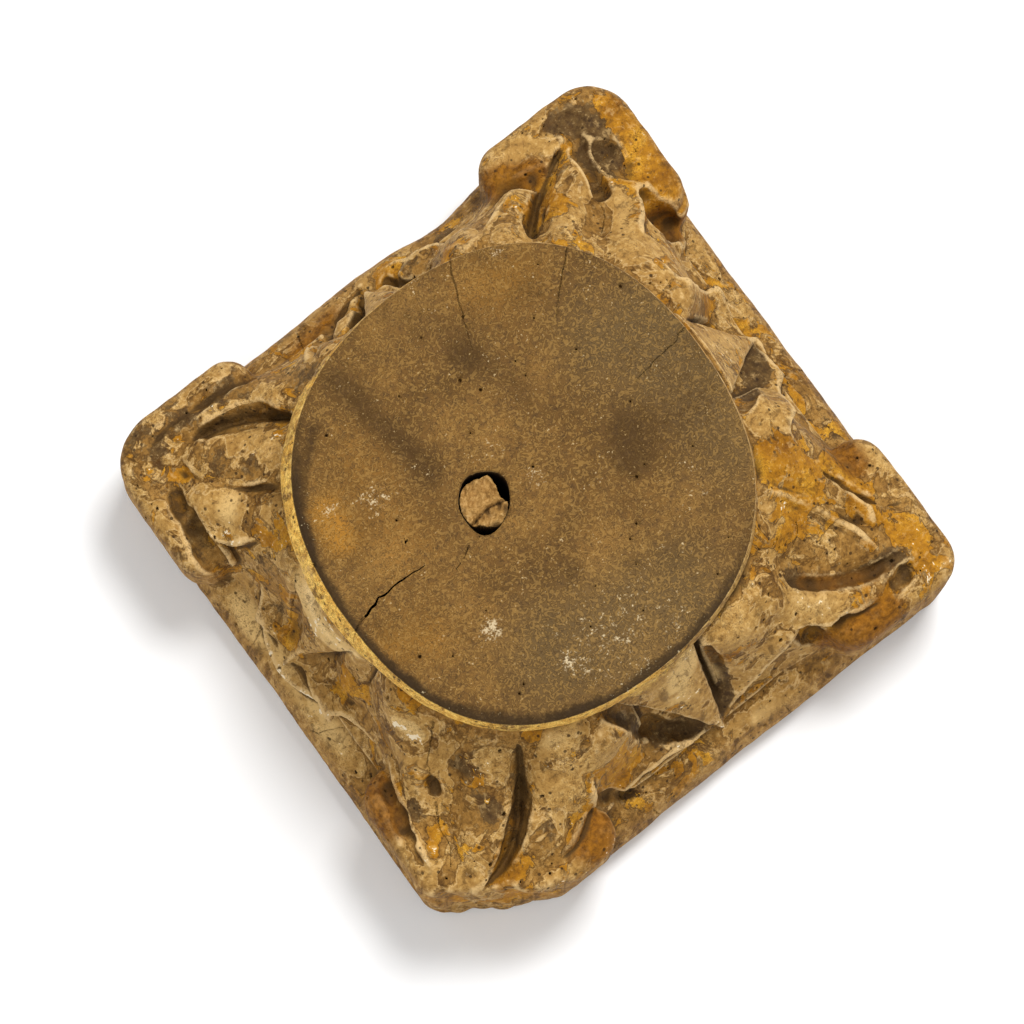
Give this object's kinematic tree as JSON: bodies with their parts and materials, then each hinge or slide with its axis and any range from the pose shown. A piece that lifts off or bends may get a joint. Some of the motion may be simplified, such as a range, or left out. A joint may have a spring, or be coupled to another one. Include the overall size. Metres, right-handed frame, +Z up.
{
  "type": "wood column base",
  "caption": "Carved wooden column base: square plinth, leaf-carved bell with curled corners and a round bearing face, with a broken peg stump in its hole.",
  "frame": {"origin": "middle of the underside of the plinth", "axes": "+Z up from the underside to the round bearing face, +X and +Y square to the plinth's sides, the broken corner at -X -Y"},
  "size_m": [0.3183, 0.3177, 0.14],
  "materials": {
    "painted_wood": "flaking ochre and cream paint over weathered wood, matt",
    "bare_wood": "broken bare wood, matt"
  },
  "bodies": {
    "root": {"carved_block": "painted_wood", "peg_stump": "bare_wood"}
  },
  "joints": []
}
